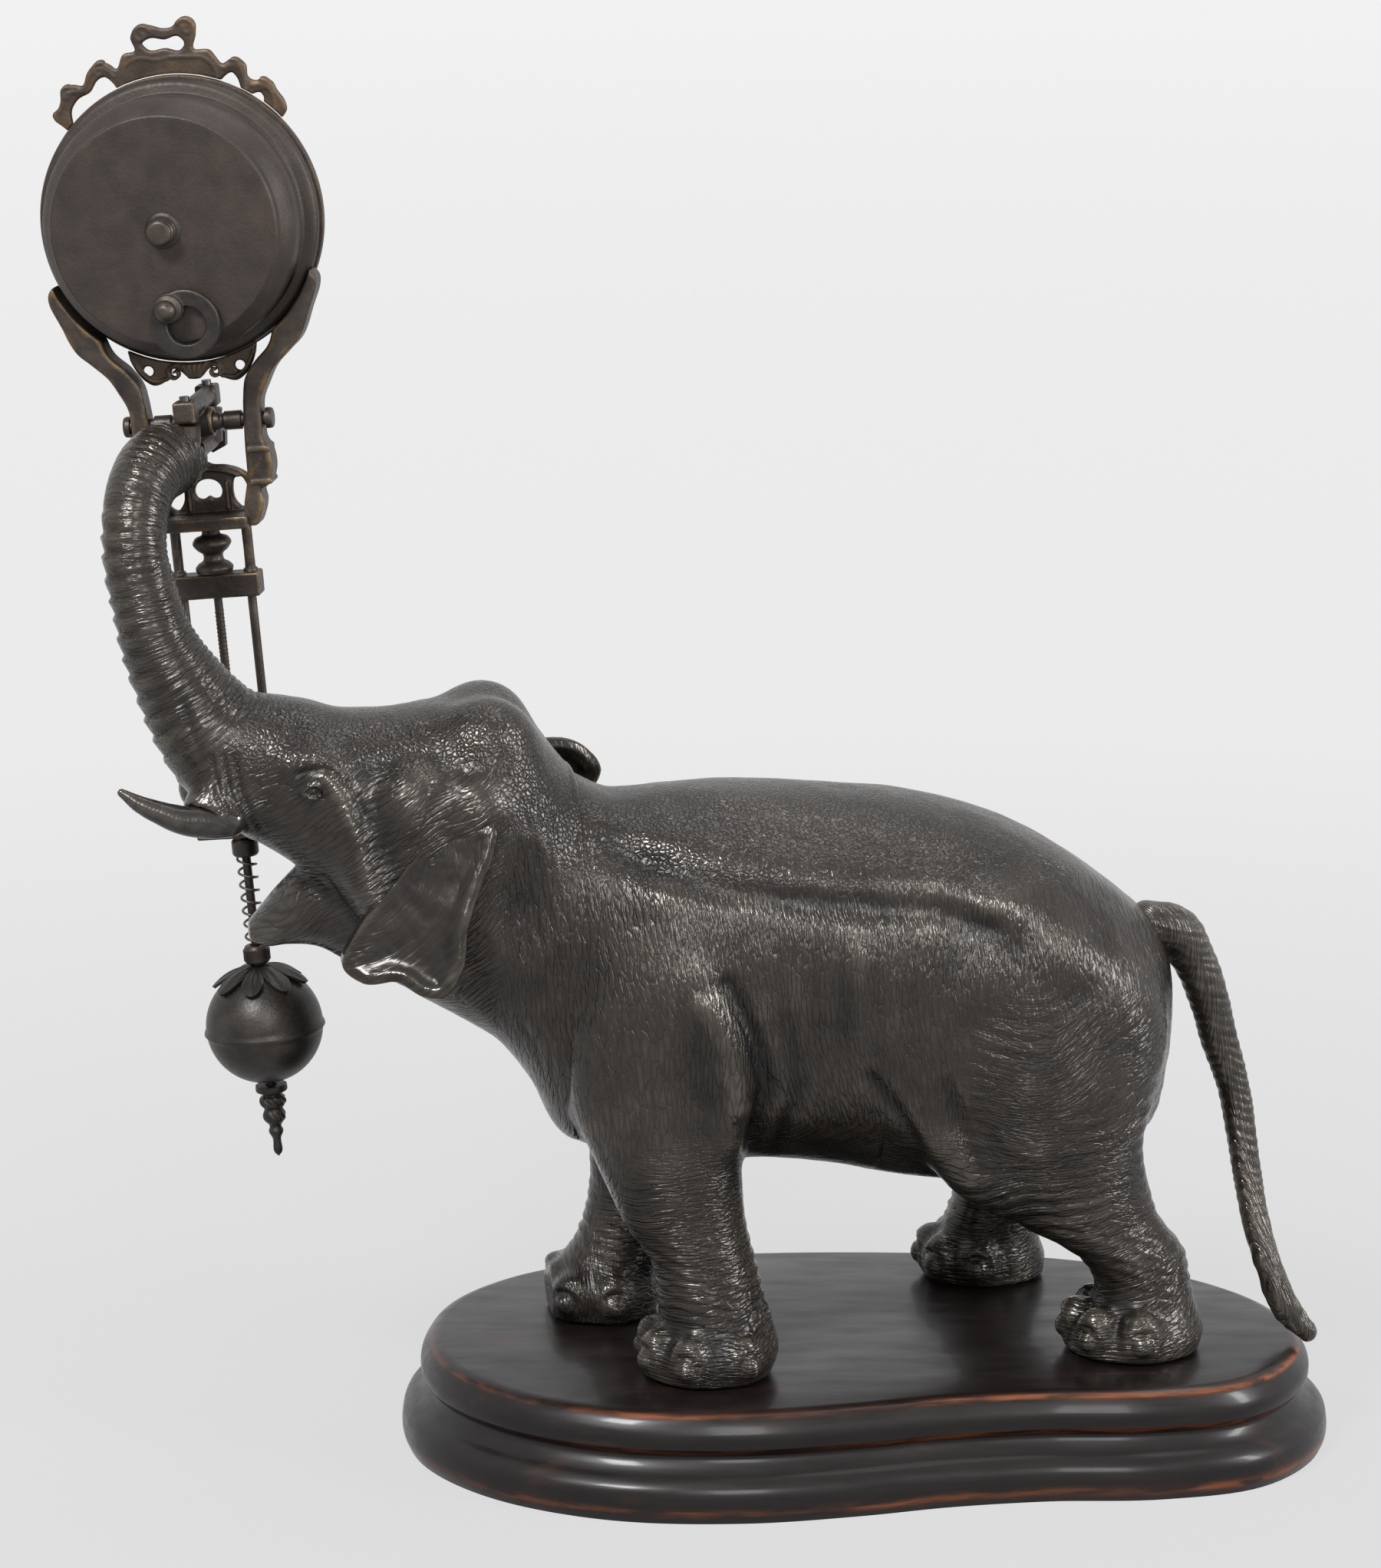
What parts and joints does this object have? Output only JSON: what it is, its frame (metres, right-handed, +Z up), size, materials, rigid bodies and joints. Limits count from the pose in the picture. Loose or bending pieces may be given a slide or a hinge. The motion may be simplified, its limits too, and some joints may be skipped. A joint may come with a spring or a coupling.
{
  "type": "figural clock",
  "caption": "Table clock: a cast elephant on a shaped wooden plinth holds a swinging clock, with drum, rods and ball, on the tip of its raised trunk.",
  "frame": {"origin": "centre of the plinth's underside, on the surface it stands on", "axes": "+Z up, -X the way the elephant faces, +Y the way the dial faces; the picture is taken from -Y"},
  "size_m": [0.2586, 0.115, 0.2865],
  "materials": {
    "plinth_wood": "black stain, polished, worn at the edges",
    "casting": "dark patina, satin",
    "drum_case": "brown oxidised, dull",
    "dark_brass": "brown oxidised with bare patches",
    "brass": "bare, slightly dull",
    "steel": "grey, slightly rusted",
    "dial_face": "matt cream",
    "glass": "clear"
  },
  "bodies": {
    "base": {"plinth": "plinth_wood", "near_front_bolt": "steel", "far_front_bolt": "steel", "near_hind_bolt": "steel", "far_hind_bolt": "steel", "body_casting": "casting", "tail": "casting", "head_casting": "casting", "trunk_casting": "casting", "tusk": "casting", "near_ear": "casting", "far_ear": "casting", "trunk_bracket": "dark_brass"},
    "swinger": {"drum_can": "drum_case", "bezel": "brass", "glass": "glass", "dial": "dial_face", "crest": "dark_brass", "lower_ornament": "dark_brass", "front_plate": "brass", "back_plate": "brass", "left_arm": "dark_brass", "right_arm": "dark_brass", "cross_shaft": "dark_brass", "pivot_bar": "dark_brass", "near_point": "steel", "far_point": "steel", "gallery_bar": "dark_brass", "upper_vase": "dark_brass", "second_bar": "dark_brass", "third_bar": "dark_brass", "lower_vase": "dark_brass", "fourth_bar": "dark_brass", "left_rod": "dark_brass", "right_rod": "dark_brass", "stem": "dark_brass", "spring": "steel"},
    "bob": {"ring_nut": "dark_brass", "leaf_cap": "dark_brass", "ball": "dark_brass"},
    "nut": {"rating_nut": "dark_brass"},
    "centre": {"centre_arbor": "steel", "cannon_pinion": "steel", "minute_hand": "steel", "hand_set_knob": "dark_brass"},
    "second": {"second_wheel": "brass"},
    "barrel": {"barrel": "brass", "mainspring": "steel"},
    "third": {"third_wheel": "brass"},
    "escape": {"escape_wheel": "brass"},
    "motion": {"minute_wheel": "brass"},
    "hour": {"hour_wheel": "brass", "hour_hand": "steel"},
    "anchor": {"anchor": "steel"},
    "winder": {"winding_arbor": "steel", "winding_ring": "dark_brass", "ball_nut": "dark_brass"},
    "click": {"click": "steel"}
  },
  "joints": [
    {"name": "swing", "type": "hinge", "parent": "base", "child": "swinger", "pos_m": [-0.1327, 0.011, 0.2079], "axis": [0.1219, 0.9925, 0], "range_deg": [-2, 12]},
    {"name": "minute", "type": "hinge", "parent": "swinger", "child": "centre", "pos_m": [-0.13617, 0.01143, 0.24704], "axis": [0.1219, 0.9925, 0], "continuous": true},
    {"name": "second_turn", "type": "hinge", "parent": "swinger", "child": "second", "pos_m": [-0.14018, 0.01192, 0.23996], "axis": [0.1219, 0.9925, 0], "continuous": true},
    {"name": "barrel_turn", "type": "hinge", "parent": "swinger", "child": "barrel", "pos_m": [-0.13484, 0.01126, 0.2321], "axis": [0.1219, 0.9925, 0], "continuous": true},
    {"name": "third_turn", "type": "hinge", "parent": "swinger", "child": "third", "pos_m": [-0.13517, 0.0113, 0.25507], "axis": [0.1219, 0.9925, 0], "continuous": true},
    {"name": "escape_turn", "type": "hinge", "parent": "swinger", "child": "escape", "pos_m": [-0.12792, 0.01041, 0.25522], "axis": [0.1219, 0.9925, 0], "continuous": true},
    {"name": "motion_turn", "type": "hinge", "parent": "swinger", "child": "motion", "pos_m": [-0.14075, 0.01199, 0.24152], "axis": [0.1219, 0.9925, 0], "continuous": true},
    {"name": "hour_turn", "type": "hinge", "parent": "swinger", "child": "hour", "pos_m": [-0.13617, 0.01143, 0.24704], "axis": [0.1219, 0.9925, 0], "continuous": true},
    {"name": "anchor_rock", "type": "hinge", "parent": "swinger", "child": "anchor", "pos_m": [-0.12851, 0.01048, 0.26179], "axis": [0.1219, 0.9925, 0], "range_deg": [-3, 3]},
    {"name": "wind", "type": "hinge", "parent": "swinger", "child": "winder", "pos_m": [-0.13484, 0.01126, 0.2321], "axis": [0.1219, 0.9925, 0], "continuous": true},
    {"name": "click_lift", "type": "hinge", "parent": "swinger", "child": "click", "pos_m": [-0.14114, 0.01204, 0.23114], "axis": [0.1219, 0.9925, 0], "range_deg": [-15, 0]},
    {"name": "bob_slide", "type": "slide", "parent": "swinger", "child": "bob", "axis": [-0.0882, 0.0108, 0.996], "range_m": [-0.001, 0.003], "deforming": ["spring"]},
    {"name": "nut_spin", "type": "hinge", "parent": "bob", "child": "nut", "pos_m": [-0.12035, 0.00948, 0.06845], "axis": [-0.0882, 0.0108, 0.996], "range_deg": [-722, 2162]}
  ],
  "couplings": [
    {"joint": "second_turn", "follows": "minute", "ratio": -0.2},
    {"joint": "barrel_turn", "follows": "minute", "ratio": 0.033333},
    {"joint": "third_turn", "follows": "minute", "ratio": -6},
    {"joint": "escape_turn", "follows": "minute", "ratio": 30},
    {"joint": "motion_turn", "follows": "minute", "ratio": -0.33333},
    {"joint": "hour_turn", "follows": "minute", "ratio": 0.083333},
    {"joint": "nut_spin", "follows": "bob_slide", "rad_per_m": 12566}
  ]
}
